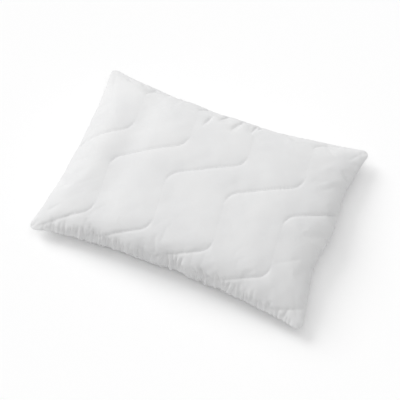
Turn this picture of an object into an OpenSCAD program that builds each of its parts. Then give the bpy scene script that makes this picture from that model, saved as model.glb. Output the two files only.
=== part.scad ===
// Quilted bed pillow: two quilted panels sewn together all round and stuffed with loose fibre.
// It lies on a flat surface. The origin is under the middle of the pillow, on that surface.
// +X runs along the long sides, +Y towards the long side that holds the closing seam, +Z is up.
// Every layer is a shell between two surfaces that share one grid (u, v), each from -1 to 1
// across the panel, so that the layers nest inside each other without touching.

/* [Panels] */
// Length of a panel as cut and sewn flat, along X
panel_l = 700; // [500:10:900]
// Width of a panel as cut and sewn flat, along Y
panel_w = 500; // [400:10:700]
// How far the filling draws each short end in, at the corners
draw_in_x = 3; // [0:1:20]
// How far the filling draws each long side in, at the corners
draw_in_y = 6; // [0:1:25]

/* [Filled shape] */
// Height of the crown above the surface that the pillow lies on
crown_h = 118; // [90:1:160]
// Height of the edge seam at the middle of the sides
seam_z = 46; // [30:1:60]
// Height of the edge seam at the corners
corner_z = 24; // [12:1:30]
// How far the under side would bulge below the edge seam if nothing pressed on it
belly = 78; // [65:1:100]
// How far each long side curves in between its corners
waist_long = 22; // [5:1:30]
// How far each short side curves in between its corners
waist_short = 14; // [5:1:25]
// How far each corner's tip is rounded back
corner_back = 9; // [4:1:14]
// Fullness of the edges, where a higher number gives squarer shoulders
shoulder = 2.6; // [2:0.1:4]
// Steepness of the edges, where a lower number gives steeper sides
steepness = 0.6; // [0.5:0.05:0.9]

/* [Layers] */
// Thickness of the microfibre cover
cover_t = 0.5; // [0.3:0.1:1]
// Thickness of the quilted wadding
wadding_t = 5; // [3:0.5:10]
// Thickness of the non-woven lining
lining_t = 0.8; // [0.6:0.1:1.2]

/* [Quilting] */
// Distance between neighbouring quilting lines, along X
line_pitch = 148; // [140:1:180]
// Run of the sloping part of a line, along X
tread_x = 163; // [150:1:170]
// Rise of the sloping part of a line, along Y
tread_y = 90; // [70:1:100]
// Rise of the steep part of a line, along Y
riser_y = 150; // [140:1:180]
// How far the steep part leans back, along X
riser_lean = 18; // [10:1:30]
// Length taken off each bend of a line by its rounding
bend = 26; // [15:1:35]
// Radius of the quilting thread
thread_r = 0.4; // [0.3:0.1:0.6]

/* [Edge seam] */
// Radius of the seam thread
seam_r = 0.5; // [0.3:0.1:0.6]
// Length of the filling opening that the closing seam shuts
opening_l = 170; // [120:10:220]

/* [Hidden] */

top = 1;
bottom = -1;
// Half of the pillow's plan, corner to corner
half_x = panel_l / 2 - draw_in_x;
half_y = panel_w / 2 - draw_in_y;
// Clear gap between layers, and between the two panels at the seam
gap = 0.2;
// Cells of the grid along X and along Y
cells_x = 20;
cells_y = 14;
// How sharply the rounding gathers at the corners
corner_focus = 12;

// Depth of each layer's outer face under the pillow's own surface
wadding_d = cover_t + gap;
lining_d = wadding_d + wadding_t + gap;
inner_thread_d = lining_d + lining_t + 2 * thread_r;
fill_d = inner_thread_d + 2 * thread_r;
// How far in from the edge the seam, the overlocking and the first padded layer lie
seam_inset = 2.2;
overlock_inset = 4;
wadding_inset = 6;
lining_inset = wadding_inset + wadding_t + gap;
fill_inset = lining_inset + lining_t + 1.5;

// Quilting: a line is a stair of bends, and the middle bend of line 2 sits here
first_bend = [-224, -25];
step = [tread_x - riser_lean, tread_y + riser_y];
lines = 6;
sample = 20;
bend_steps = 3;
thread_sides = 5;
line_margin = 6;
edge_steps = 14;

// ---- The pillow's surface ----

// Grid coordinate of column or row i of n: closer together near the edges, where the sides are steep
function spread(i, n) = sin(90 * (2 * i / n - 1));
function unspread(u, n) = (asin(u) / 90 + 1) * n / 2;

// Fullness at one coordinate: 1 at the middle, 0 at the edge
function fullness(u) = pow(1 - pow(abs(u), shoulder), steepness);
function swell(u, v) = fullness(u) * fullness(v);

// Height of the edge seam's surface, which droops towards the corners
function mid_z(u, v) = seam_z + (corner_z - seam_z) * pow(u * v, 2);

// Place in plan, with the sides curved in between the corners and the corners rounded
function place(u, v, inset) = let (
    tip = corner_back * pow(abs(u * v), corner_focus),
    x = half_x - waist_short * (1 - v * v) * u * u - tip - inset,
    y = half_y - waist_long * (1 - u * u) * v * v - tip - inset)
  [u * x, v * y];

// Height of the upper or under surface at a depth below the pillow's own
function height(u, v, side, depth) = side == top
  ? mid_z(u, v) + gap / 2 + (crown_h - seam_z - gap / 2 - depth) * swell(u, v)
  : max(depth, mid_z(u, v) - gap / 2 - (belly - depth) * swell(u, v));

function skin(u, v, side, depth, inset) =
  concat(place(u, v, inset), height(u, v, side, depth));

function grid(side, depth, inset) = [
  for (j = [0 : cells_y]) for (i = [0 : cells_x])
    skin(spread(i, cells_x), spread(j, cells_y), side, depth, inset)];

// ---- Solids between two grids ----

columns = cells_x + 1;
per_grid = columns * (cells_y + 1);
function at(i, j) = j * columns + i;

// Two triangles for each cell, seen from above when up is true
function grid_faces(first, up) = [
  for (j = [0 : cells_y - 1]) for (i = [0 : cells_x - 1]) let (
      a = first + at(i, j), b = first + at(i + 1, j),
      c = first + at(i + 1, j + 1), d = first + at(i, j + 1))
    each (up ? [[a, c, b], [a, d, c]] : [[a, b, c], [a, c, d]])];

// The edge of the grid, anticlockwise from above
border = concat(
  [for (i = [0 : cells_x - 1]) at(i, 0)],
  [for (j = [0 : cells_y - 1]) at(cells_x, j)],
  [for (i = [cells_x : -1 : 1]) at(i, cells_y)],
  [for (j = [cells_y : -1 : 1]) at(0, j)]);

// Strips that join the edge of the upper grid to the edge of the lower one
function border_faces(upper, lower) = [
  for (k = [0 : len(border) - 1]) let (
      a = border[k], b = border[(k + 1) % len(border)])
    each [[upper + a, upper + b, lower + b], [upper + a, lower + b, lower + a]]];

module between(upper, lower) {
  polyhedron(
    points = concat(upper, lower),
    faces = concat(grid_faces(0, true), grid_faces(per_grid, false), border_faces(0, per_grid)));
}

// One layer of a panel, from its outer face to its inner face
module layer(side, depth, inset, thickness) {
  outer = grid(side, depth, inset);
  inner = grid(side, depth + thickness, inset + thickness);
  if (side == top) between(outer, inner);
  else between(inner, outer);
}

// ---- Threads ----

function unit(a) = a / norm(a);
function direction(path, i) = unit(path[min(i + 1, len(path) - 1)] - path[max(i - 1, 0)]);

// A round thread swept along a path, with flat ends
module thread(path, r) {
  n = thread_sides;
  last = len(path) - 1;
  rings = [for (i = [0 : last]) let (
      t = direction(path, i),
      side = unit(cross(t, [0, 0, 1])),
      up = cross(side, t))
    for (k = [0 : n - 1]) path[i] + r * (cos(360 * k / n) * side + sin(360 * k / n) * up)];
  walls = [for (i = [0 : last - 1]) for (k = [0 : n - 1]) let (
      a = i * n + k, b = i * n + (k + 1) % n)
    each [[a, b, b + n], [a, b + n, a + n]]];
  polyhedron(
    points = rings,
    faces = concat(walls, [[for (k = [n - 1 : -1 : 0]) k]], [[for (k = [0 : n - 1]) last * n + k]]));
}

// ---- Quilting lines, drawn flat on the panel ----

// The bends of line k: each step has a lower left bend and an upper right one
function bends(k) = [
  for (s = [-1 : 1]) let (low = first_bend + [line_pitch * (k - 2), 0] + s * step)
    each [low, low + [tread_x, tread_y]]];

// A bend rounded off between its two straights
function rounded(a, b, c) = let (p = b + bend * unit(a - b), q = b + bend * unit(c - b)) [
  for (i = [0 : bend_steps]) let (t = i / bend_steps)
    pow(1 - t, 2) * p + 2 * t * (1 - t) * b + t * t * q];

// Points along the straight from a to b, without its ends
function straight(a, b) = let (n = ceil(norm(b - a) / sample)) [
  for (i = [1 : 1 : n - 1]) a + (b - a) * i / n];

function stair(k) = let (
    c = bends(k),
    arcs = [for (i = [1 : len(c) - 2]) rounded(c[i - 1], c[i], c[i + 1])])
  [for (i = [0 : len(arcs) - 1]) each concat(
      straight(i == 0 ? c[0] : arcs[i - 1][bend_steps], arcs[i][0]), arcs[i]),
    each straight(arcs[len(arcs) - 1][bend_steps], c[len(c) - 1])];

// The part of a line that lies on the panel, cut off a little inside its edge
limit_x = panel_l / 2 - line_margin;
limit_y = panel_w / 2 - line_margin;
function inside(p) = abs(p.x) <= limit_x && abs(p.y) <= limit_y;
function reach(a, b, limit) = abs(b) <= limit ? 1 : (sign(b) * limit - a) / (b - a);
function cut_back(p, q) =
  p + (q - p) * min(reach(p.x, q.x, limit_x), reach(p.y, q.y, limit_y));
function on_panel(path) = [
  for (i = [0 : len(path) - 1]) let (p = path[i], before = path[i - 1], after = path[i + 1])
    if (inside(p)) p
    else if (after != undef && inside(after)) cut_back(after, p)
    else if (before != undef && inside(before)) cut_back(before, p)];

// A flat point of the panel laid on the flat triangles of a grid
function laid(p, side, depth, inset) = let (
    s = unspread(2 * p.x / panel_l, cells_x),
    t = unspread(2 * p.y / panel_w, cells_y),
    i = min(floor(s), cells_x - 1),
    j = min(floor(t), cells_y - 1),
    a = s - i,
    b = t - j,
    corner = function (di, dj)
      skin(spread(i + di, cells_x), spread(j + dj, cells_y), side, depth, inset))
  a > b
    ? corner(0, 0) + a * (corner(1, 0) - corner(0, 0)) + b * (corner(1, 1) - corner(1, 0))
    : corner(0, 0) + b * (corner(0, 1) - corner(0, 0)) + a * (corner(1, 1) - corner(0, 1));

// ---- Sub-parts ----

module cover_top() {
  color("white") layer(top, 0, 0, cover_t);
}

module wadding_top() {
  color("snow") layer(top, wadding_d, wadding_inset, wadding_t);
}

module lining_top() {
  color("gainsboro") layer(top, lining_d, lining_inset, lining_t);
}

module cover_bottom() {
  color("whitesmoke") layer(bottom, 0, 0, cover_t);
}

module wadding_bottom() {
  color("snow") layer(bottom, wadding_d, wadding_inset, wadding_t);
}

module lining_bottom() {
  color("gainsboro") layer(bottom, lining_d, lining_inset, lining_t);
}

module fibre_fill() {
  color("ivory") between(grid(top, fill_d, fill_inset), grid(bottom, fill_d, fill_inset));
}

// A quilting thread of the upper panel lies on the cover
module quilt_thread_top(k) {
  lift = 2.5 * thread_r;
  color("silver") thread([for (p = on_panel(stair(k))) laid(p, top, -lift, -lift)], thread_r);
}

// A quilting thread of the under panel is kept off the surface below: it lies inside the lining
module quilt_thread_bottom(k) {
  color("silver") thread(
    [for (p = on_panel(stair(k))) laid([-p.x, p.y], bottom, inner_thread_d, lining_inset + 2)],
    thread_r);
}

// A point of the edge seam: side 0 is the near long side, and they run anticlockwise
function edge(side, t) = [[t, -1], [1, t], [-t, 1], [-1, -t]][side];
function edge_point(side, t, inset) = let (c = edge(side, t))
  concat(place(c[0], c[1], inset), mid_z(c[0], c[1]));
function edge_run(side, from, to, inset) = [
  for (i = [0 : edge_steps]) edge_point(side, from + (to - from) * i / edge_steps, inset)];
function without_last(path) = [for (i = [0 : len(path) - 2]) path[i]];

// The edge all round, from one end of the filling opening to the other
opening = opening_l / panel_l;
function around(inset) = concat(
  without_last(edge_run(2, opening, 1, inset)),
  without_last(edge_run(3, -1, 1, inset)),
  without_last(edge_run(0, -1, 1, inset)),
  without_last(edge_run(1, -1, 1, inset)),
  edge_run(2, -1, -opening, inset));

module seam_thread() {
  color("silver") thread(around(seam_inset), seam_r);
}

module overlock_thread() {
  color("lightgray") thread(around(overlock_inset), seam_r);
}

module closing_thread() {
  stop = opening - 2 * seam_r / half_x;
  color("silver") thread(edge_run(2, -stop, stop, seam_inset), seam_r);
}

cover_top();
wadding_top();
lining_top();
cover_bottom();
wadding_bottom();
lining_bottom();
fibre_fill();
for (k = [1 : lines]) {
  quilt_thread_top(k);
  quilt_thread_bottom(k);
}
seam_thread();
overlock_thread();
closing_thread();
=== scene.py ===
"""A quilted bed pillow, lying on a pale floor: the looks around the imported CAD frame.

Two flat panels are sewn together round their edge, blown up as cloth, and eased onto the pillow's
real proportions. Quilting grooves, gathers, creases and stitches are then worked into the panels in
their cut (flat) coordinates, x along the long side and y along the short side, in metres.

"Near" is the long side at -Y, "far" the one at +Y with the closing seam, "left" -X and "right" +X.
"""
import math

import bpy
import numpy as np
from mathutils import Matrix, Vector, kdtree
from mathutils.bvhtree import BVHTree


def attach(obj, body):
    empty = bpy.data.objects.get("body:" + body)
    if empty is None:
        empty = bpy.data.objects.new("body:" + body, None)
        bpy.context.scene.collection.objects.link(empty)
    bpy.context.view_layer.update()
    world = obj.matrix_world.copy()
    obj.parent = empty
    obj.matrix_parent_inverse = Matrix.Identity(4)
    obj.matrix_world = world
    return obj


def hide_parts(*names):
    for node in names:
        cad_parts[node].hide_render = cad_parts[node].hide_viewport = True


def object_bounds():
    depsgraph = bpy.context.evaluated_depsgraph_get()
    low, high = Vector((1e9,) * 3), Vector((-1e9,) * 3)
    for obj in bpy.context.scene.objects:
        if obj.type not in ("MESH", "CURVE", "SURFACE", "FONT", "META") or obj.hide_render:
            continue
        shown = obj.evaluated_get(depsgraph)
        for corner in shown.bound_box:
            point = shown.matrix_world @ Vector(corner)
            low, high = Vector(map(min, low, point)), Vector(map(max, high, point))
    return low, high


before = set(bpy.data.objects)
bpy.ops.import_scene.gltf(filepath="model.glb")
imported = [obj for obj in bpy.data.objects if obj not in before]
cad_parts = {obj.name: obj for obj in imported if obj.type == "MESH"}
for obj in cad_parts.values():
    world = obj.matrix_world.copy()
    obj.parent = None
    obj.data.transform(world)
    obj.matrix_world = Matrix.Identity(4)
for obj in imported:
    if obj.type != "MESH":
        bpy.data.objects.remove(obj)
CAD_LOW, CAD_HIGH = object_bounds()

MM = 0.001
TINY = 1e-12
TOP, BOTTOM = 1, -1
SIDES = (TOP, BOTTOM)
SIDE_NAMES = {TOP: "top", BOTTOM: "bottom"}
LENGTH, WIDTH, HEIGHT = CAD_HIGH - CAD_LOW

# The panels as cut and sewn flat, and the rounding of their corners
CUT = np.array([0.700, 0.500])
CORNER_R = 0.022

# The filled shape, as shares of the CAD box's height
SEAM_Z = 0.39 * HEIGHT
CORNER_Z = 0.20 * HEIGHT
BELLY = 0.66 * HEIGHT
# How far each side curves in between its corners
WAIST_NEAR = 22 * MM
WAIST_FAR = 37.5 * MM
WAIST_LEFT = 26 * MM
WAIST_RIGHT = 24 * MM
# How much deeper the near and the right waist are towards one end
NEAR_SKEW = 0.2
RIGHT_SKEW = 0.15
# The wave that pinches the right side on each side of its middle: its height, how much this falls
# towards the far end, and its crest and pitch as shares of half the side
RIGHT_WAVE = 10 * MM
WAVE_SKEW = 0.45
WAVE_CREST = 0.05
WAVE_PITCH = 0.95
# How far the corners would reach beyond the CAD box if they weren't rounded
CORNER_SPARE = 14 * MM
# Where single corners stand away from that, in mm, by the end of x and of y. A corner's move starts
# at this share of the half length and half width.
CORNER_START = 0.2
CORNER_MOVES = {(1, 1): (-2, 7, 7), (1, -1): (-7, -2, 4), (-1, -1): (0, 3, 0), (-1, 1): (5, 0, 0)}
# How square and how steep the sides are: the near one is the squarest and steepest
SHOULDER, STEEPNESS = 2.8, 0.56
SHOULDER_NEAR, STEEPNESS_NEAR = 4.4, 0.46
SHOULDER_FAR, STEEPNESS_FAR = 2.4, 0.72
# How much flatter the corners are than the sides
FLAP = 0.3
# Broad dips where the quilting's risers lie above each other, in mm: place, depth (below 0: a swell)
HOLLOWS = ((-285, -4), (-195, 11), (-44, 2), (104, 2), (252, 2))
HOLLOW_WIDTH = 40 * MM

# Grid cells of the visible covers along x and y, and how far in from the seam extra rows lie
COVER_CELL = np.array([2.2, 3.4]) * MM
SEAM_ROWS = np.array([0.5, 1.2]) * MM
# Grid cells of the hidden layers and of the loose filling, how far in from the seam these end, and
# the rounding of their corners
LAYER_CELL = np.array([6, 6]) * MM
FILL_CELL = np.array([9, 9]) * MM
LAYER_INSET = 4 * MM
FILL_INSET = 16 * MM
LAYER_CORNER_R = 55 * MM

# Thicknesses of the layers, the gap between two of them, and the one under the cover
COVER = 0.5 * MM
WADDING = 5 * MM
LINING = 0.4 * MM
GAP = 0.2 * MM
COVER_GAP = 1.2 * MM


# ---- Small mathematics ----

def smooth(t):
    """An eased step from 0 to 1."""
    t = np.clip(t, 0, 1)
    return t * t * (3 - 2 * t)


def unit(a):
    """Vectors at length 1."""
    return a / np.maximum(np.linalg.norm(a, axis=-1, keepdims=True), TINY)


def limited(depth, limit):
    """The depth, eased off as it nears the limit."""
    return limit * np.tanh(depth / limit)


def normals(points, side):
    """Outward normals of a grid of points."""
    along = np.gradient(points, axis=1)
    across = np.gradient(points, axis=0)
    return side * unit(np.cross(along, across))


def cubic(t):
    """Weights of the four neighbours of a place t of the way from the second to the third."""
    return np.stack([
        ((2 - t) * t - 1) * t / 2,
        ((3 * t - 5) * t * t + 2) / 2,
        ((4 - 3 * t) * t + 1) * t / 2,
        (t - 1) * t * t / 2], -1)


def extended(grid):
    """The grid with one more row and column all round, carried straight on."""
    grid = np.concatenate([2 * grid[:1] - grid[1:2], grid, 2 * grid[-1:] - grid[-2:-1]], 0)
    first, last = 2 * grid[:, :1] - grid[:, 1:2], 2 * grid[:, -1:] - grid[:, -2:-1]
    return np.concatenate([first, grid, last], 1)


def sampled(grid, flat):
    """Bicubic values of a grid that covers the whole panel, at flat places."""
    rows, cols = grid.shape[:2]
    wide = extended(grid)
    place = (flat / CUT + 0.5) * np.array([cols - 1, rows - 1])
    cell = np.clip(np.floor(place).astype(int), 0, [cols - 2, rows - 2])
    wx, wy = cubic(place[..., 0] - cell[..., 0]), cubic(place[..., 1] - cell[..., 1])
    value = 0
    for j in range(4):
        for i in range(4):
            weight = (wx[..., i] * wy[..., j])[..., None]
            value = value + weight * wide[cell[..., 1] + j, cell[..., 0] + i]
    return value


# ---- The filled shape ----

def rounded(flat, half, radius):
    """Flat places of a rectangle, drawn in where they lie beyond its rounded corners."""
    over = np.maximum(np.abs(flat) - (half - radius), 0) / radius
    far = np.maximum(np.linalg.norm(over, axis=-1), TINY)
    pull = np.where(np.all(over > 0, axis=-1), over.max(-1) / far, 1)
    return flat - np.sign(flat) * radius * over * (1 - pull[..., None])


def flat_grid(cols, rows):
    """The cut panel, with its corners rounded."""
    lines = [np.linspace(-0.5, 0.5, n) * size for n, size in zip((cols, rows), CUT)]
    return rounded(np.stack(np.meshgrid(*lines), -1), CUT / 2, CORNER_R)


def fullness(t, shoulder=SHOULDER, steepness=STEEPNESS):
    """The rounded profile of the filling across the pillow, from edge (t = -1) to edge (t = 1)."""
    return (1 - np.abs(t) ** shoulder) ** steepness


def short_waist(u, v):
    """How far a short side curves in. The right one is pinched on each side of its middle."""
    even = np.where(u > 0, WAIST_RIGHT * (1 - RIGHT_SKEW * v), WAIST_LEFT) * (1 - v * v)
    height = RIGHT_WAVE * (1 - WAVE_SKEW * v) * (1 - v * v) ** 2
    wave = height * np.cos(2 * math.pi * (v - WAVE_CREST) / WAVE_PITCH)
    return even - np.where(u > 0, wave, 0)


def corner_moves(u, v):
    """How far single corners stand away from the even shape."""
    moved = np.zeros((*u.shape, 3))
    reach = 1 - CORNER_START
    for (end_u, end_v), move in CORNER_MOVES.items():
        share = smooth((u * end_u - CORNER_START) / reach) * smooth((v * end_v - CORNER_START) / reach)
        moved += share[..., None] * np.array(move) * MM
    return moved


def hollows(u, v):
    """Depth of the broad dips in the top, which run from the near side to the far side."""
    x = u * CUT[0] / 2
    return (1 - v ** 4) * sum(
        depth * MM * np.exp(-((x - place * MM) / HOLLOW_WIDTH) ** 2) for place, depth in HOLLOWS)


def target(cols, rows, side):
    """The pillow's proportions, on a grid over one panel. u and v run from -1 to 1 along x and y."""
    u, v = np.meshgrid(np.linspace(-1, 1, cols), np.linspace(-1, 1, rows))
    x, y = np.moveaxis(flat_grid(cols, rows), -1, 0)
    x = x / (CUT[0] / 2) * (LENGTH / 2 + CORNER_SPARE - short_waist(u, v) * u * u)
    waist = np.where(v > 0, WAIST_FAR, WAIST_NEAR * (1 - NEAR_SKEW * u))
    y = y / (CUT[1] / 2) * (WIDTH / 2 + CORNER_SPARE - waist * (1 - u * u) * v * v)
    middle = SEAM_Z + (CORNER_Z - SEAM_Z) * (u * v) ** 2
    swell = fullness(u, SHOULDER, STEEPNESS + FLAP * v ** 4)
    swell *= np.where(v > 0, fullness(v, SHOULDER_FAR, STEEPNESS_FAR + FLAP * u ** 4),
                      fullness(v, SHOULDER_NEAR, STEEPNESS_NEAR + FLAP * u ** 4))
    if side == TOP:
        z = middle + (HEIGHT - SEAM_Z) * swell - hollows(u, v) * fullness(u)
    else:
        z = np.maximum(0, middle - BELLY * swell)
    return np.stack([x, y, z], -1) + corner_moves(u, v)


# ---- Cloth simulation ----

SIM_CELLS = (116, 84)
SIM_FRAMES = 30
# The flat panels start bulged by this, and a little uneven, so that the folds come out irregular
SIM_LIFT = 4 * MM
SIM_JITTER = 0.04 * MM
SIM_SEED = 3
# Light cloth that hardly stretches, with air inside, drawn in a little along the seam
SIM_CLOTH = {
    "quality": 4,
    "mass": 0.15,
    "tension_stiffness": 40,
    "compression_stiffness": 20,
    "shear_stiffness": 8,
    "bending_stiffness": 0.8,
    "air_damping": 2,
    "use_pressure": True,
    "uniform_pressure_force": 3.6,
    "vertex_group_shrink": "seam",
    "shrink_max": 0.02,
}
# The simulation gives this share of every detail smaller than its reach, in cells
SIM_SHARE = 0.32
SIM_REACH = 6


def quads(index, side):
    """The faces of a grid of point numbers, facing up for the top and down for the bottom."""
    corners = [index[:-1, :-1], index[:-1, 1:], index[1:, 1:], index[1:, :-1]]
    if side == BOTTOM:
        corners.reverse()
    return np.stack(corners, -1).reshape(-1, 4)


def sewn_flat(cols, rows):
    """Two nearly flat panels that share their edge: points, each panel's point numbers, the edge."""
    x, y = np.moveaxis(flat_grid(cols, rows), -1, 0)
    border = np.ones((rows, cols), bool)
    border[1:-1, 1:-1] = False
    lift = np.where(border, 0, SIM_LIFT)
    jitter = SIM_JITTER * np.random.default_rng(SIM_SEED).standard_normal((2, rows, cols))
    index = {TOP: np.arange(rows * cols).reshape(rows, cols)}
    index[BOTTOM] = index[TOP].copy()
    index[BOTTOM][~border] = rows * cols + np.arange((~border).sum())
    points = np.zeros((index[BOTTOM].max() + 1, 3))
    points[index[BOTTOM].ravel()] = np.stack([x, y, jitter[1] - lift], -1).reshape(-1, 3)
    points[index[TOP].ravel()] = np.stack([x, y, jitter[0] + lift], -1).reshape(-1, 3)
    return points, index, index[TOP][border]


def blown_up(cols, rows):
    """Both panels after a cloth simulation with pressure inside, as two grids that share an edge."""
    points, index, edge = sewn_flat(cols, rows)
    mesh = bpy.data.meshes.new("cloth_trial")
    faces = np.concatenate([quads(index[s], s) for s in SIDES])
    mesh.from_pydata(points.tolist(), [], faces.tolist())
    piece = bpy.data.objects.new("cloth_trial", mesh)
    bpy.context.collection.objects.link(piece)
    seam = piece.vertex_groups.new(name="seam")
    seam.add(edge.tolist(), 1.0, "REPLACE")

    cloth = piece.modifiers.new("cloth", "CLOTH")
    for name, value in SIM_CLOTH.items():
        setattr(cloth.settings, name, value)
    cloth.settings.effector_weights.gravity = 0
    cloth.collision_settings.use_collision = False
    cloth.point_cache.frame_end = SIM_FRAMES
    for step in range(1, SIM_FRAMES + 1):
        bpy.context.scene.frame_set(step)
    seen = piece.evaluated_get(bpy.context.evaluated_depsgraph_get())
    moved = np.empty(len(points) * 3)
    seen.data.vertices.foreach_get("co", moved)
    moved = moved.reshape(-1, 3)
    bpy.data.objects.remove(piece)
    bpy.data.meshes.remove(mesh)
    bpy.context.scene.frame_set(1)
    return {s: moved[index[s]] for s in SIDES}


def softened(fields, reach):
    """Both panels' fields blurred over reach cells, with each carried on into the other at the seam."""
    pad = 3 * reach
    taps = np.arange(-pad, pad + 1)
    weights = np.exp(-0.5 * (taps / reach) ** 2)
    weights /= weights.sum()
    wide = {s: np.concatenate([
        fields[-s][:, 1:pad + 1][:, ::-1], fields[s], fields[-s][:, -pad - 1:-1][:, ::-1]], 1)
        for s in SIDES}
    result = {}
    for s in SIDES:
        rows, cols = fields[s].shape[:2]
        tall = np.concatenate([wide[-s][1:pad + 1][::-1], wide[s], wide[-s][-pad - 1:-1][::-1]], 0)
        tall = sum(w * tall[k:k + rows] for k, w in enumerate(weights))
        result[s] = sum(w * tall[:, k:k + cols] for k, w in enumerate(weights))
    return result


def body_grids():
    """The two panels in place: the cloth's folds on the pillow's real proportions."""
    cols, rows = SIM_CELLS[0] + 1, SIM_CELLS[1] + 1
    goal = {s: target(cols, rows, s) for s in SIDES}
    cloth = blown_up(cols, rows)
    mixed = {s: SIM_SHARE * cloth[s] + (1 - SIM_SHARE) * goal[s] for s in SIDES}
    shift = softened({s: goal[s] - mixed[s] for s in SIDES}, SIM_REACH)
    placed = {s: mixed[s] + shift[s] for s in SIDES}
    placed[BOTTOM][..., 2] = np.maximum(placed[BOTTOM][..., 2], 0)
    return placed


# ---- Quilting lines, in flat coordinates ----

# The six lines of a panel, this far apart along x
LINES = range(1, 7)
LINE_PITCH = 0.148
# The low end of line 2's middle tread (sloping part), then run and rise of a tread and a riser
FIRST_BEND = np.array([-0.224, -0.025])
TREAD = np.array([0.163, 0.090])
RISER = np.array([-0.018, 0.150])
# How far before and after its corner a bend is rounded, and the points that it takes
BEND = 0.032
BEND_POINTS = 17
# The spacing of a line's points, and how far from the seam it ends
PATH_SPACING = 1 * MM
SEAM_MARGIN = 1 * MM

# Depth and half width of the crisp groove, and of the broad dip that it lies in
GROOVE = 2.7 * MM
GROOVE_WIDTH = 3.2 * MM
PUFF = 1.7 * MM
PUFF_WIDTH = 20 * MM
# The small puckers along a line: depth, spacing, reach to each side, and how irregular they are
PUCKER = 0.3 * MM
PUCKER_PITCH = 9 * MM
PUCKER_REACH = 7 * MM
PUCKER_WANDER = 2
WANDER_SIZE = 40 * MM
# The steep parts of a line pull this much less than the sloping parts, and how sharply this sets in
RISER_SLACK = 0.9
SLACK_SHARPNESS = 14


def evenly(path, spacing):
    """The same polyline with points at an even spacing."""
    length = np.concatenate([[0], np.cumsum(np.linalg.norm(np.diff(path, axis=0), axis=1))])
    stops = np.arange(0, length[-1], spacing)
    return np.stack([np.interp(stops, length, path[:, k]) for k in range(path.shape[1])], -1)


def quilt_line(k, side):
    """Line k of a panel: a stair of long sloping treads and steep risers, with round bends."""
    low = FIRST_BEND + [LINE_PITCH * (k - 2), 0]
    bends = [low + n * (TREAD + RISER) + up * TREAD for n in (-1, 0, 1) for up in (0, 1)]
    t = np.linspace(0, 1, BEND_POINTS)[:, None]
    path = [bends[0][None]]
    for before, bend, after in zip(bends, bends[1:], bends[2:]):
        start = bend + BEND * unit(before - bend)
        end = bend + BEND * unit(after - bend)
        path.append((1 - t) ** 2 * start + 2 * t * (1 - t) * bend + t * t * end)
    path = evenly(np.concatenate(path + [bends[-1][None]]), PATH_SPACING)
    path = path[np.all(np.abs(path) < CUT / 2 - SEAM_MARGIN, axis=1)]
    return path * [side, 1]


PATHS = {side: {k: quilt_line(k, side) for k in LINES} for side in SIDES}


def line_finder(side):
    """A panel's line points and headings, with a search tree over them."""
    points = np.concatenate(list(PATHS[side].values()))
    heading = np.concatenate([unit(np.gradient(p, axis=0)) for p in PATHS[side].values()])
    tree = kdtree.KDTree(len(points))
    for i, (x, y) in enumerate(points.tolist()):
        tree.insert((x, y, 0), i)
    tree.balance()
    return points, heading, tree


FINDERS = {side: line_finder(side) for side in SIDES}


def nearest_line(flat, side):
    """For flat places: distance to the nearest line, place along it, nearest point, heading."""
    points, heading, tree = FINDERS[side]
    found = np.array([tree.find((x, y, 0))[1] for x, y in flat.reshape(-1, 2).tolist()])
    found = found.reshape(flat.shape[:-1])
    offset = flat - points[found]
    along = np.clip((offset * heading[found]).sum(-1), -PATH_SPACING, PATH_SPACING)
    foot = points[found] + along[..., None] * heading[found]
    return np.linalg.norm(flat - foot, axis=-1), found * PATH_SPACING + along, foot, heading[found]


def noise(flat, size, seed):
    """Smooth random bumps about size across, about 1 high."""
    cols, rows = (np.ceil(CUT / size) + 1).astype(int)
    lattice = np.random.default_rng(seed).standard_normal((rows, cols, 1))
    return sampled(lattice, flat)[..., 0]


# ---- Gathers along the seam ----

# The sides of a panel, with the way outwards
OUTWARD = {"near": (0, -1, 0), "far": (0, 1, 0), "left": (-1, 0, 0), "right": (1, 0, 0)}
EDGES = tuple(OUTWARD)
# Edge, first and last place along it, the gathers' spacing, depth and length, all in mm, and their
# lean (sideways per inwards). The near side has long and short ones. Spacing, depth and length vary
# at random between these shares of the value given.
SPACING_SHARES = (0.4, 1.6)
DEPTH_SHARES = (0.2, 1)
LENGTH_SHARES = (0.5, 1.3)
GATHERS = (
    ("near", -310, 320, 9, 14, 32, 0),
    ("near", -300, 310, 7, 8, 15, 0),
    ("far", -320, 320, 15, 2.4, 20, 0.1),
    ("left", -225, 225, 19, 1.2, 18, 0),
    ("right", -225, 225, 14, 4.5, 26, 0),
)
# How much the gathers' leans vary (standard deviation)
LEAN_SPREAD = 0.2
GATHER_SEED = 10
# Towards the corners the gathers are shallower, and where they meet they don't get deeper than this
CORNER_EASE = 60 * MM
DEEPEST_FOLD = 12 * MM
# Nor do the cover and the hidden layers go in by more than these shares of the pillow's thickness
FOLD_SHARE = 0.27
LAYER_SHARE = 0.43
# Where a quilting line ends this near the seam, away from the corners, it pulls one deeper gather.
# The gather leans as the line's last points do.
PULL_DEPTH = 3.2 * MM
PULL_LENGTH = 34 * MM
PULL_REACH = 3 * MM
PULL_LIMIT = 0.320
PULL_POINTS = 20
STEEPEST_LEAN = 0.4
# The half width of a gather at the seam, how much it widens inwards, and how sharp its valley is
GATHER_WIDTH = 2.3 * MM
GATHER_SPLAY = 0.8
GATHER_SHARPNESS = 1.5
# How much a gather draws the seam in, and how far this reaches
SCALLOP = 0.3
SCALLOP_REACH = 6 * MM
# The stitched seam line lies in this recess
SEAM_RECESS = 0.9 * MM
SEAM_RECESS_REACH = 0.4 * MM
# How soon the sewn details fade out towards the seam
QUILT_FADE = 4 * MM
FOLD_FADE = 2.5 * MM


def from_edge(flat, edge):
    """Distance in from a side of the panel, and place along it."""
    axis = 1 if edge in ("near", "far") else 0
    sign = 1 if edge in ("far", "right") else -1
    return CUT[axis] / 2 - sign * flat[..., axis], flat[..., 1 - axis]


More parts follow.
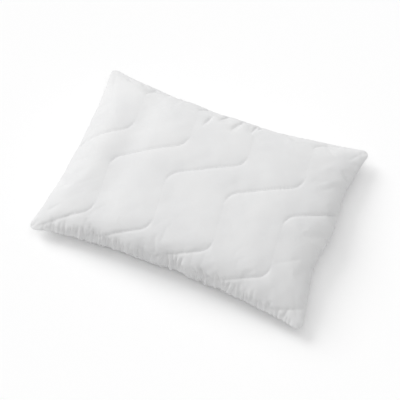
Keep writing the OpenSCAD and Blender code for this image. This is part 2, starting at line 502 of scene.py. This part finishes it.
def from_seam(flat):
    """Distance in from the nearest side."""
    return np.minimum.reduce([from_edge(flat, edge)[0] for edge in EDGES])


def gather_folds():
    """Seeded folds: the edge, place along it, depth, length and lean of each."""
    folds = {edge: [] for edge in EDGES}
    rng = np.random.default_rng(GATHER_SEED)
    for edge, first, last, spacing, depth, length, lean in GATHERS:
        place = first
        while place < last:
            deep = depth * MM * rng.uniform(*DEPTH_SHARES)
            long = length * MM * rng.uniform(*LENGTH_SHARES)
            folds[edge].append((place * MM, deep, long, lean + rng.normal(0, LEAN_SPREAD)))
            place += spacing * rng.uniform(*SPACING_SHARES)
    return folds


FOLDS = gather_folds()


def line_pulls(side, edge):
    """The deeper gathers where this panel's quilting lines meet an edge."""
    pulls = []
    for path in PATHS[side].values():
        for tip, inner in ((path[0], path[PULL_POINTS]), (path[-1], path[-1 - PULL_POINTS])):
            inward, along = from_edge(tip, edge)
            if inward < PULL_REACH and abs(along) < PULL_LIMIT:
                deeper, further = from_edge(inner, edge)
                lean = (further - along) / (deeper - inward)
                lean = np.clip(lean, -STEEPEST_LEAN, STEEPEST_LEAN)
                pulls.append((along, PULL_DEPTH, PULL_LENGTH, lean))
    return pulls


def gathers(flat, side, edge):
    """Depth of the folds below the smooth panel, and how hard they pull on the seam."""
    inward, along = from_edge(flat, edge)
    depth, pull = np.zeros(inward.shape), np.zeros(inward.shape)
    for place, deep, length, lean in FOLDS[edge] + line_pulls(side, edge):
        width = GATHER_WIDTH * (1 + GATHER_SPLAY * inward / length)
        off = np.abs((along - place - lean * inward) / width)
        valley = deep * np.exp(-off ** GATHER_SHARPNESS)
        depth += valley * smooth(inward / FOLD_FADE) * (1 - smooth(inward / length))
    for place, deep, _, _ in FOLDS[edge]:
        pull += deep * np.exp(-((along - place) / GATHER_WIDTH) ** 2 - inward / SCALLOP_REACH)
    half = CUT[0 if edge in ("near", "far") else 1] / 2
    ease = smooth((half - np.abs(along)) / CORNER_EASE)
    return limited(depth * ease, DEEPEST_FOLD), SCALLOP * pull * ease


# How fast a crease sets in at its start and runs out at its end, per length
CREASE_START = 4
CREASE_END = 1.6
# Single creases on the top panel: start (x, y), heading, length, depth and half width, in mm and in
# degrees from +X
CREASES = (
    (-322, -204, 40, 48, 2.0, 5),
    (-332, 232, -75, 85, 2.4, 6),
    (332, 232, -120, 60, 2.0, 6),
    (347, 134, 151, 60, 3.4, 2.5),
    (334, -234, 118, 70, 2.0, 6),
    (234, -146, 31, 78, 1.0, 4),
    (-196, -244, 94, 44, 3.0, 3),
    (-30, -244, 101, 66, 2.0, 3),
    (346, 42, 202, 50, 2.6, 3),
    (304, -101, 212, 44, 1.4, 4),
    (-344, -70, 20, 90, 1.6, 14),
    (-344, 30, -15, 90, 1.6, 14),
    (-344, -150, 32, 80, 1.6, 12),
    (-344, 130, -10, 80, 1.6, 12),
    (-300, 234, -20, 46, 5.0, 3),
    (-252, 228, -6, 36, 2.5, 4),
    (-203, 242, -125, 36, 6.0, 3.5),
    (-64, 242, -70, 30, 6.5, 3.5),
    (-38, 190, -100, 66, 5.0, 3.5),
    (-2, 244, -102, 84, 6.0, 4),
    (28, 200, -100, 62, 4.5, 3.5),
    (36, 232, -97, 90, 4.5, 3.5),
    (69, 236, -93, 84, 5.5, 3.5),
    (84, 244, -110, 40, 6.5, 3.5),
)


def creases(flat):
    """Depth of the single creases, which taper out at both ends."""
    depth = np.zeros(flat.shape[:-1])
    for x, y, heading, length, deep, width in CREASES:
        ahead = np.array([math.cos(math.radians(heading)), math.sin(math.radians(heading))])
        offset = flat - np.array([x, y]) * MM
        along = offset @ ahead / (length * MM)
        across = np.abs(offset @ [-ahead[1], ahead[0]]) / (width * MM)
        taper = smooth(CREASE_START * along) * smooth(CREASE_END * (1 - along))
        depth += deep * MM * np.exp(-across) * taper
    return depth


# ---- The fabric's surface ----

# Soft unevenness of the covers: depth, size of the bumps, and how far in from the seam it is full
CRUMPLE = 0.35 * MM
CRUMPLE_SIZE = 22 * MM
CRUMPLE_FADE = 30 * MM
# The hidden layers keep below the gathers this far in from the seam, lie this much deeper within this
# reach of a quilting line, and go in this many times as deep as each crease
GATHER_REACH = 60 * MM
LINE_CLEARANCE = 1.5 * MM
LINE_REACH = 12 * MM
CREASE_CLEARANCE = 1.7
# Kept between the panels where they meet, so that a share of the thickness is never nothing
THINNEST = 0.01 * MM

BODY = body_grids()
NORMAL = {side: normals(BODY[side], side) for side in SIDES}


def thickness(flat):
    """How thick the pillow is between its two panels."""
    return np.linalg.norm(sampled(BODY[TOP] - BODY[BOTTOM], flat), axis=-1) + THINNEST


def quilting(flat, side):
    """Depth of the quilting below the smooth panel: a crisp groove in a broad dip."""
    across, along, _, heading = nearest_line(flat, side)
    slack = np.abs(heading @ (unit(RISER) * [side, 1])) ** SLACK_SHARPNESS
    depth = GROOVE * np.exp(-across / GROOVE_WIDTH) + PUFF * np.exp(-(across / PUFF_WIDTH) ** 2)
    wander = PUCKER_WANDER * noise(flat, WANDER_SIZE, seed=5)
    pucker = np.sin(along * 2 * math.pi / PUCKER_PITCH + wander)
    depth += PUCKER * pucker * np.exp(-across / PUCKER_REACH)
    return depth * (1 - RISER_SLACK * slack) * smooth(from_seam(flat) / QUILT_FADE)


def outer_face(flat, side):
    """Places on a cover's outer face, and the outward normals there."""
    place = sampled(BODY[side], flat)
    normal = unit(sampled(NORMAL[side], flat))
    below = quilting(flat, side)
    below += CRUMPLE * noise(flat, CRUMPLE_SIZE, seed=6 + side) * smooth(from_seam(flat) / CRUMPLE_FADE)
    if side == TOP:
        below += creases(flat) * smooth(from_seam(flat) / FOLD_FADE)
    for edge in EDGES:
        sunk, pull = gathers(flat, side, edge)
        recess = SEAM_RECESS * np.exp(-(from_edge(flat, edge)[0] / SEAM_RECESS_REACH) ** 2)
        place -= (pull + recess)[..., None] * np.array(OUTWARD[edge])
        below += sunk
    place -= normal * limited(below, FOLD_SHARE * thickness(flat))[..., None]
    if side == BOTTOM:
        place[..., 2] = np.maximum(place[..., 2], 0)
    return place, normal


def hidden_face(flat, side):
    """The smoother face that the hidden layers hang from, clear of the cover's folds."""
    place = sampled(BODY[side], flat)
    normal = unit(sampled(NORMAL[side], flat))
    inward = from_seam(flat)
    clear = COVER + COVER_GAP + DEEPEST_FOLD * (1 - smooth(inward / GATHER_REACH))
    across = nearest_line(flat, side)[0]
    clear += LINE_CLEARANCE * np.exp(-(across / LINE_REACH) ** 2)
    if side == TOP:
        clear += CREASE_CLEARANCE * creases(flat)
    sunk = limited(quilting(flat, side) + clear, LAYER_SHARE * thickness(flat))
    place -= normal * sunk[..., None]
    if side == BOTTOM:
        place[..., 2] = np.maximum(place[..., 2], COVER + COVER_GAP)
    return place, normal


# ---- Meshes ----

def spread(size, cell, inset, extra=()):
    """Grid lines across one direction of a panel, with extra ones close to both ends."""
    half = size / 2 - inset
    lines = np.linspace(-half, half, int(round(2 * half / cell)) + 1)
    close = np.array(extra)
    return np.sort(np.concatenate([lines, close - half, half - close]))


# Grid points closer to a quilting line than this share of a cell are moved onto it
SNAP = 0.5


def panel_grid(side, cells, inset=0.0, extra=()):
    """Flat places over a panel. Those close beside a quilting line are moved onto it."""
    x, y = np.meshgrid(*[spread(size, cell, inset, extra) for size, cell in zip(CUT, cells)])
    flat = np.stack([x, y], -1)
    across, _, foot, _ = nearest_line(flat, side)
    onto = across < SNAP * cells.min()
    onto[[0, -1]] = False
    onto[:, [0, -1]] = False
    return np.where(onto[..., None], foot, flat)


def add_piece(stands_for, kind, points, faces, material, flat=None):
    """A mesh object that stands for a CAD node. Flat places become its UVs."""
    name = f"{stands_for}_{kind}"
    mesh = bpy.data.meshes.new(name)
    mesh.from_pydata(points.tolist(), [], faces)
    mesh.materials.append(material)
    mesh.polygons.foreach_set("use_smooth", np.ones(len(faces), bool))
    if flat is not None:
        layer = mesh.uv_layers.new(name=CUT_UV)
        layer.data.foreach_set("uv", flat[np.array(faces).ravel()].ravel())
    mesh.update()
    piece = bpy.data.objects.new(name, mesh)
    bpy.context.collection.objects.link(piece)
    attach(piece, "root")
    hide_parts(stands_for)
    return piece


def rim(rows, cols):
    """The grid's edge as one loop, anticlockwise from above."""
    index = np.arange(rows * cols).reshape(rows, cols)
    return np.concatenate([index[0, :-1], index[:-1, -1], index[-1, :0:-1], index[:0:-1, 0]])


def shell(upper, lower):
    """Points and faces of the closed solid between two grids of the same shape."""
    rows, cols = upper.shape[:2]
    index = np.arange(rows * cols).reshape(rows, cols)
    edge = rim(rows, cols)
    after = np.roll(edge, -1)
    offset = rows * cols
    faces = np.concatenate([
        quads(index, TOP),
        quads(index + offset, BOTTOM),
        np.stack([edge + offset, after + offset, after, edge], -1)])
    return np.concatenate([upper.reshape(-1, 3), lower.reshape(-1, 3)]), faces.tolist()


def layer_piece(layer, side, kind, material, flat, outer, inner):
    """One layer of a panel, as the closed shell between its two faces."""
    points, faces = shell(outer, inner) if side == TOP else shell(inner, outer)
    return add_piece(f"{layer}_{SIDE_NAMES[side]}", kind, points, faces, material,
                     np.tile(flat.reshape(-1, 2), (2, 1)))


def cover(side, material):
    """The visible cover of one side, with every fold, groove and crease."""
    flat = panel_grid(side, COVER_CELL, extra=SEAM_ROWS)
    outer, normal = outer_face(flat, side)
    inner = outer - normal * COVER
    return layer_piece("cover", side, "cloth", material, flat, outer, inner)


# A hidden layer is sewn in at the rim with this share of its thickness, and is full this far in
PRESSED = 0.15
PRESSED_REACH = 35 * MM
# The filling's clearance under the linings, and the depth and size of its lumps
FILL_GAP = 1.2 * MM
LUMP = 0.5 * MM
LUMP_SIZE = 26 * MM


def wadding_depth(flat):
    """The wadding's thickness, pressed thin towards the rim."""
    full = smooth((from_seam(flat) - LAYER_INSET) / PRESSED_REACH)
    return WADDING * (PRESSED + (1 - PRESSED) * full)


def quilted_layers(side, wadding_material, lining_material):
    """The wadding and the lining that are quilted to one cover."""
    grid = panel_grid(side, LAYER_CELL, LAYER_INSET)
    flat = rounded(grid, CUT / 2 - LAYER_INSET, LAYER_CORNER_R)
    face, normal = hidden_face(flat, side)
    thick = wadding_depth(flat)[..., None]
    wadding = layer_piece("wadding", side, "pad", wadding_material,
                          flat, face, face - normal * thick)
    lined = face - normal * (thick + GAP)
    lining = layer_piece("lining", side, "cloth", lining_material,
                         flat, lined, lined - normal * LINING)
    return wadding, lining


def loose_filling(material):
    """The fibre between the two linings, lumpy as it is stuffed."""
    x, y = np.meshgrid(*[spread(size, cell, FILL_INSET) for size, cell in zip(CUT, FILL_CELL)])
    flat = rounded(np.stack([x, y], -1), CUT / 2 - FILL_INSET, LAYER_CORNER_R)
    faces = {}
    for side in SIDES:
        face, normal = hidden_face(flat, side)
        depth = wadding_depth(flat) + GAP + LINING + FILL_GAP
        depth += LUMP * (1 + np.clip(noise(flat, LUMP_SIZE, seed=20 + side), -1, 1))
        faces[side] = face - normal * depth[..., None]
    points, shell_faces = shell(faces[TOP], faces[BOTTOM])
    return add_piece("fibre_fill", "pad", points, shell_faces, material)


# ---- Stitches ----

# A quilting stitch: its length and spacing, and its thread's radius and number of sides
STITCH = 2.7 * MM
STITCH_PITCH = 3.4 * MM
THREAD_R = 0.25 * MM
THREAD_SIDES = 6
# How far above and below its reckoned place a cover is looked for
CAST = 6 * MM
# A stitch from end to end: share of its half length, then height over the cloth and radius,
# both in thread radii
STITCH_PROFILE = (
    (-1, -1.4, 0.7), (-0.8, -0.1, 1), (0, 0.35, 1.05), (0.8, -0.1, 1), (1, -1.4, 0.7))


def cloth_finder(piece):
    """A search tree over a piece's faces."""
    mesh = piece.data
    return BVHTree.FromPolygons([v.co for v in mesh.vertices], [p.vertices for p in mesh.polygons])


def on_cloth(finder, place, normal):
    """Points moved along their normals onto a cover's mesh."""
    found = []
    for p, n in zip(place, normal):
        hit = finder.ray_cast(Vector(p + n * CAST), Vector(-n), 2 * CAST)[0]
        found.append(p if hit is None else np.array(hit))
    return np.array(found)


def tubes(centres, ups, radii):
    """Closed tubes: centres and ups are (tube, ring, 3), radii is one value per ring."""
    count, rings = centres.shape[:2]
    sides = THREAD_SIDES
    ahead = unit(np.gradient(centres, axis=1))
    across = unit(np.cross(ahead, ups))
    over = np.cross(across, ahead)
    angle = np.linspace(0, 2 * math.pi, sides, endpoint=False)
    ring = np.cos(angle)[:, None] * across[:, :, None] + np.sin(angle)[:, None] * over[:, :, None]
    points = centres[:, :, None] + ring * np.asarray(radii)[:, None, None]
    index = np.arange(rings * sides).reshape(rings, sides)
    after = np.roll(index, -1, axis=1)
    side_faces = np.stack([index[:-1], after[:-1], after[1:], index[1:]], -1).reshape(-1, 4)
    one = [f.tolist() for f in side_faces] + [index[0, ::-1].tolist(), index[-1].tolist()]
    faces = [[i + n * rings * sides for i in face] for n in range(count) for face in one]
    return points.reshape(-1, 3), faces


def stitches(flat_path, side, finder):
    """A row of stitches along a path on a panel, as closed tubes."""
    path = evenly(flat_path, STITCH_PITCH)[1:-1]
    heading = unit(np.gradient(path, axis=0))
    share, height, radius = np.array(STITCH_PROFILE).T
    flat = path[:, None] + heading[:, None] * (share * STITCH / 2)[:, None]
    place, normal = outer_face(flat.reshape(-1, 2), side)
    place = on_cloth(finder, place, normal).reshape(*flat.shape[:2], 3)
    normal = normal.reshape(*flat.shape[:2], 3)
    centres = place + normal * (height * THREAD_R)[:, None]
    return tubes(centres, normal, radius * THREAD_R)


def joined(meshes):
    """Several (points, faces) as one."""
    points, faces, offset = [], [], 0
    for more_points, more_faces in meshes:
        points.append(more_points)
        faces += [[i + offset for i in face] for face in more_faces]
        offset += len(more_points)
    return np.concatenate(points), faces


# The seam's bars of thread: spacing, how far in each side is pierced, how far they stand out at the
# seam, and their radii at the ends and the middle
SEAM_PITCH = 3 * MM
SEAM_BITE = 1.3 * MM
SEAM_STAND = 0.1 * MM
SEAM_RADII = (0.2 * MM, 0.22 * MM, 0.2 * MM)
# The overlock's zigzag: inset of its outer points, width, spacing, and the room that it needs
OVERLOCK_INSET = 2.5 * MM
OVERLOCK_WIDTH = 5 * MM
OVERLOCK_PITCH = 3 * MM
OVERLOCK_ROOM = 4 * MM
# The closed filling opening, and how far in from the seam its topstitch runs
CLOSING_LENGTH = 0.170
CLOSING_INSET = 2.6 * MM


def round_seam(inset, pitch):
    """Flat places at an even pitch round the panel, inset from its edge, and the way inwards."""
    loop = np.array([(-1, -1), (1, -1), (1, 1), (-1, 1), (-1, -1)]) * (CUT / 2 - inset)
    ways = [(0, 1), (-1, 0), (0, -1), (1, 0)]
    places = [evenly(loop[i:i + 2], pitch) for i in range(len(ways))]
    inwards = [np.tile(way, (len(p), 1)) for p, way in zip(places, ways)]
    return np.concatenate(places), np.concatenate(inwards)


def seam_stitches():
    """Short bars of thread across the seam, from one cover to the other."""
    flat, inwards = round_seam(0, SEAM_PITCH)
    bite = flat + inwards * SEAM_BITE
    ends = {side: outer_face(bite, side)[0] for side in SIDES}
    middle = outer_face(flat, TOP)[0]
    outwards = unit(middle - (ends[TOP] + ends[BOTTOM]) / 2)
    centres = np.stack([ends[TOP], middle + outwards * SEAM_STAND, ends[BOTTOM]], 1)
    return tubes(centres, np.repeat(outwards[:, None], 3, 1), SEAM_RADII)


def overlock():
    """The zigzag of thread over the seam's raw edges, inside the pillow."""
    flat, inwards = round_seam(OVERLOCK_INSET, OVERLOCK_PITCH)
    zigzag = flat + inwards * (OVERLOCK_WIDTH * (np.arange(len(flat)) % 2))[:, None]
    zigzag = zigzag[thickness(zigzag) > OVERLOCK_ROOM]
    middle = (sampled(BODY[TOP], zigzag) + sampled(BODY[BOTTOM], zigzag)) / 2
    up = np.tile([0, 0, 1.0], (len(middle), 1))
    return tubes(middle[None], up[None], np.full(len(middle), THREAD_R))


def closing_stitches(finders):
    """The topstitch that closes the filling opening, in the middle of the far side."""
    x = np.linspace(-CLOSING_LENGTH / 2, CLOSING_LENGTH / 2, 2)
    path = np.stack([x, np.full(2, CUT[1] / 2 - CLOSING_INSET)], -1)
    return joined([stitches(path, side, finders[side]) for side in SIDES])


# ---- Materials ----

# The UV layer that holds the flat places, in metres
CUT_UV = "cut"


def new_material(name, colour, roughness, sheen):
    """A matt cloth material, with the values that are the same all over it."""
    material = bpy.data.materials.new(name)
    material.use_nodes = True
    shader = material.node_tree.nodes["Principled BSDF"]
    shader.inputs["Base Color"].default_value = (*colour, 1)
    shader.inputs["Roughness"].default_value = roughness
    shader.inputs["Specular IOR Level"].default_value = 0.3
    shader.inputs["Sheen Weight"].default_value = sheen
    shader.inputs["Sheen Roughness"].default_value = 0.5
    return material


def node(material, kind, inputs, **settings):
    """A new node. Inputs are values or other nodes' outputs, by name."""
    made = material.node_tree.nodes.new("ShaderNode" + kind)
    for key, value in settings.items():
        setattr(made, key, value)
    for key, value in inputs.items():
        if isinstance(value, bpy.types.NodeSocket):
            material.node_tree.links.new(value, made.inputs[key])
        else:
            made.inputs[key].default_value = value
    return made


def cut_coordinates(material):
    """Places on the cut panel, in metres."""
    return node(material, "UVMap", {}, uv_map=CUT_UV).outputs["UV"]


def object_coordinates(material):
    """Places in the piece, in metres."""
    return node(material, "TexCoord", {}).outputs["Object"]


def cloudy(material, where, scale, detail=2.0):
    """A noise value about 1 / scale metres across."""
    return node(material, "TexNoise", {"Vector": where, "Scale": scale, "Detail": detail}).outputs["Fac"]


# The period of a wave texture at scale 1
WAVE_PERIOD = math.pi / 10


def ribs(material, where, axis, pitch, wobble=0.0):
    """Threads side by side across one axis, a pitch apart."""
    return node(material, "TexWave",
                {"Vector": where, "Scale": WAVE_PERIOD / pitch, "Distortion": wobble,
                 "Detail": 2.0, "Detail Scale": 0.3},
                wave_type="BANDS", bands_direction=axis).outputs["Fac"]


def maths(material, operation, a, b):
    """Two values or outputs put together, as another output."""
    made = node(material, "Math", {}, operation=operation)
    for socket, value in zip(made.inputs, (a, b)):
        if isinstance(value, bpy.types.NodeSocket):
            material.node_tree.links.new(value, socket)
        else:
            socket.default_value = value
    return made.outputs[0]


def ranged(material, value, low, high, from_low=0.3, from_high=0.7):
    """A value spread from its own range (that of noise, unless said) to low and high."""
    return node(material, "MapRange", {
        "Value": value, "From Min": from_low, "From Max": from_high,
        "To Min": low, "To Max": high}).outputs["Result"]


def bumped(material, heights):
    """Chains bumps, given as (height, depth in metres)."""
    normal = None
    for height, depth in heights:
        inputs = {"Height": height, "Distance": depth, "Strength": 1.0}
        if normal:
            inputs["Normal"] = normal
        normal = node(material, "Bump", inputs).outputs["Normal"]
    shader = material.node_tree.nodes["Principled BSDF"]
    material.node_tree.links.new(normal, shader.inputs["Normal"])


def tinted(material, value, dark, light):
    """The base colour between two greys or tints, by a value from 0 to 1."""
    mixed = node(material, "Mix", {}, data_type="RGBA")
    colour_a, colour_b = [s for s in mixed.inputs if s.type == "RGBA"]
    colour_a.default_value = (*dark, 1)
    colour_b.default_value = (*light, 1)
    material.node_tree.links.new(value, mixed.inputs["Factor"])
    shader = material.node_tree.nodes["Principled BSDF"]
    result = [s for s in mixed.outputs if s.type == "RGBA"][0]
    material.node_tree.links.new(result, shader.inputs["Base Color"])


def roughened(material, value):
    """The roughness given by an output."""
    shader = material.node_tree.nodes["Principled BSDF"]
    material.node_tree.links.new(value, shader.inputs["Roughness"])


def microfibre():
    """Plain-woven white microfibre, peach-skinned, a little crinkled by the quilting."""
    material = new_material("microfibre", colour=(0.77, 0.77, 0.77), roughness=0.85, sheen=0.12)
    where = cut_coordinates(material)
    warp, weft = [ribs(material, where, axis, pitch=0.42 * MM, wobble=0.6) for axis in ("X", "Y")]
    weave = maths(material, "MULTIPLY", warp, weft)
    slubs = cloudy(material, where, scale=900, detail=3)
    crinkle = cloudy(material, where, scale=70, detail=4)
    broad = maths(material, "MULTIPLY", cloudy(material, where, scale=9), 0.7)
    fine = maths(material, "MULTIPLY", slubs, 0.3)
    drift = ranged(material, maths(material, "ADD", broad, fine), low=0, high=1)
    tinted(material, drift, dark=(0.740, 0.742, 0.747), light=(0.785, 0.785, 0.785))
    nap = cloudy(material, where, scale=250)
    roughened(material, ranged(material, nap, low=0.78, high=0.92))
    bumped(material, [(crinkle, 0.35 * MM), (slubs, 0.02 * MM), (weave, 0.03 * MM)])
    return material


def wadding_felt():
    """Needled polyester wadding: matted, crossing fibres."""
    material = new_material("wadding", colour=(0.85, 0.85, 0.83), roughness=0.95, sheen=0.2)
    where = cut_coordinates(material)
    fibres = ribs(material, where, "DIAGONAL", pitch=0.9 * MM, wobble=14.0)
    tufts = cloudy(material, where, scale=220, detail=6)
    tinted(material, tufts, dark=(0.76, 0.76, 0.74), light=(0.88, 0.88, 0.86))
    roughened(material, ranged(material, fibres, low=0.88, high=0.98, from_low=0, from_high=1))
    bumped(material, [(tufts, 0.5 * MM), (fibres, 0.15 * MM)])
    return material


def bonded_lining():
    """Spun-bonded lining, embossed with a grid of small points."""
    material = new_material("lining", colour=(0.82, 0.82, 0.8), roughness=0.8, sheen=0.05)
    where = cut_coordinates(material)
    points = node(material, "TexVoronoi", {"Vector": where, "Scale": 900.0, "Randomness": 0.15})
    tinted(material, points.outputs["Distance"], dark=(0.72, 0.72, 0.7), light=(0.86, 0.86, 0.84))
    roughened(material, ranged(material, cloudy(material, where, scale=400), low=0.7, high=0.9))
    bumped(material, [(points.outputs["Distance"], 0.08 * MM)])
    return material


def curled_fibre():
    """Loose curled polyester fibre."""
    material = new_material("fibre_fill", colour=(0.87, 0.87, 0.86), roughness=0.95, sheen=0.25)
    where = object_coordinates(material)
    strands = ribs(material, where, "DIAGONAL", pitch=2 * MM, wobble=30.0)
    lumps = cloudy(material, where, scale=45, detail=8)
    tinted(material, lumps, dark=(0.78, 0.78, 0.77), light=(0.9, 0.9, 0.89))
    roughened(material, ranged(material, lumps, low=0.88, high=0.98))
    bumped(material, [(lumps, 2 * MM), (strands, 0.5 * MM)])
    return material


def spun_thread():
    """Spun polyester sewing thread, with a fine twist."""
    material = new_material("thread", colour=(0.83, 0.83, 0.83), roughness=0.6, sheen=0.1)
    where = object_coordinates(material)
    twist = ribs(material, where, "DIAGONAL", pitch=0.25 * MM, wobble=0.3)
    tinted(material, twist, dark=(0.74, 0.74, 0.75), light=(0.86, 0.86, 0.86))
    roughened(material, ranged(material, cloudy(material, where, scale=500), low=0.5, high=0.7))
    bumped(material, [(twist, 0.05 * MM)])
    return material


# ---- The pillow ----

MICROFIBRE = microfibre()
WADDING_FELT = wadding_felt()
BONDED_LINING = bonded_lining()
THREAD = spun_thread()

covers = {side: cover(side, MICROFIBRE) for side in SIDES}
finders = {side: cloth_finder(covers[side]) for side in SIDES}
filling = loose_filling(curled_fibre())
for side in SIDES:
    wadding, lining = quilted_layers(side, WADDING_FELT, BONDED_LINING)
    for k in LINES:
        points, faces = stitches(PATHS[side][k], side, finders[side])
        add_piece(f"quilt_thread_{SIDE_NAMES[side]}_{k}", "stitches", points, faces,
                  THREAD)
edge_threads = {
    "seam_thread": seam_stitches(),
    "overlock_thread": overlock(),
    "closing_thread": closing_stitches(finders),
}
for name, (points, faces) in edge_threads.items():
    add_piece(name, "stitches", points, faces, THREAD)


# ---- Stage, light and camera ----

# Far enough for the floor to fill a low view too
FLOOR_REACH = 120 * LENGTH
# The lamps are suns, so this only keeps them clear of the pillow
LIGHT_DISTANCE = 3
# The camera as fitted to the pillow's four corners in the photograph, and the point that it faces
CAMERA_AZIMUTH = 21.7
CAMERA_ELEVATION = 63.7
CAMERA_DISTANCE = 3.557 * LENGTH
LENS = 90
AIM = Vector((0.0074 * LENGTH, -0.0475 * WIDTH, 0.22 * HEIGHT))


def plain_floor():
    """A large pale floor that the pillow lies on."""
    corners = [(x * FLOOR_REACH, y * FLOOR_REACH, 0) for x, y in ((-1, -1), (1, -1), (1, 1), (-1, 1))]
    mesh = bpy.data.meshes.new("floor")
    mesh.from_pydata(corners, [], [(0, 1, 2, 3)])
    material = bpy.data.materials.new("floor")
    material.use_nodes = True
    shader = material.node_tree.nodes["Principled BSDF"]
    shader.inputs["Base Color"].default_value = (0.97, 0.97, 0.97, 1)
    shader.inputs["Roughness"].default_value = 1.0
    shader.inputs["Specular IOR Level"].default_value = 0.0
    mesh.materials.append(material)
    floor = bpy.data.objects.new("floor", mesh)
    bpy.context.collection.objects.link(floor)


def direction(azimuth, elevation):
    """Towards an azimuth (0 is -Y, 90 is +X) and an elevation, in degrees."""
    a, e = math.radians(azimuth), math.radians(elevation)
    return Vector((math.sin(a) * math.cos(e), -math.cos(a) * math.cos(e), math.sin(e)))


def place_facing(thing, name, centre, towards, distance):
    """Puts a light or camera a distance from a centre, facing it."""
    placed = bpy.data.objects.new(name, thing)
    placed.location = centre + towards * distance
    placed.rotation_euler = towards.to_track_quat("Z", "Y").to_euler()
    bpy.context.collection.objects.link(placed)
    return placed


def soft_light(name, azimuth, elevation, breadth, strength):
    """A broad, even light, as from a large softbox far away."""
    lamp = bpy.data.lights.new(name, "SUN")
    lamp.angle = math.radians(breadth)
    lamp.energy = strength
    centre = Vector((0, 0, HEIGHT / 2))
    place_facing(lamp, name, centre, direction(azimuth, elevation), LIGHT_DISTANCE)


def studio_world(strength):
    """An even white light from all round."""
    world = bpy.data.worlds.new("studio")
    world.use_nodes = True
    world.node_tree.nodes["Background"].inputs["Color"].default_value = (1, 1, 1, 1)
    world.node_tree.nodes["Background"].inputs["Strength"].default_value = strength
    bpy.context.scene.world = world


plain_floor()
studio_world(strength=0.42)
soft_light("overhead", azimuth=0, elevation=90, breadth=80, strength=1.05)
soft_light("key", azimuth=-112, elevation=35, breadth=32, strength=1.43)
camera = bpy.data.cameras.new("camera")
camera.lens = LENS
bpy.context.scene.camera = place_facing(
    camera, "camera", AIM, direction(CAMERA_AZIMUTH, CAMERA_ELEVATION), CAMERA_DISTANCE)
bpy.context.scene.view_settings.view_transform = "Standard"
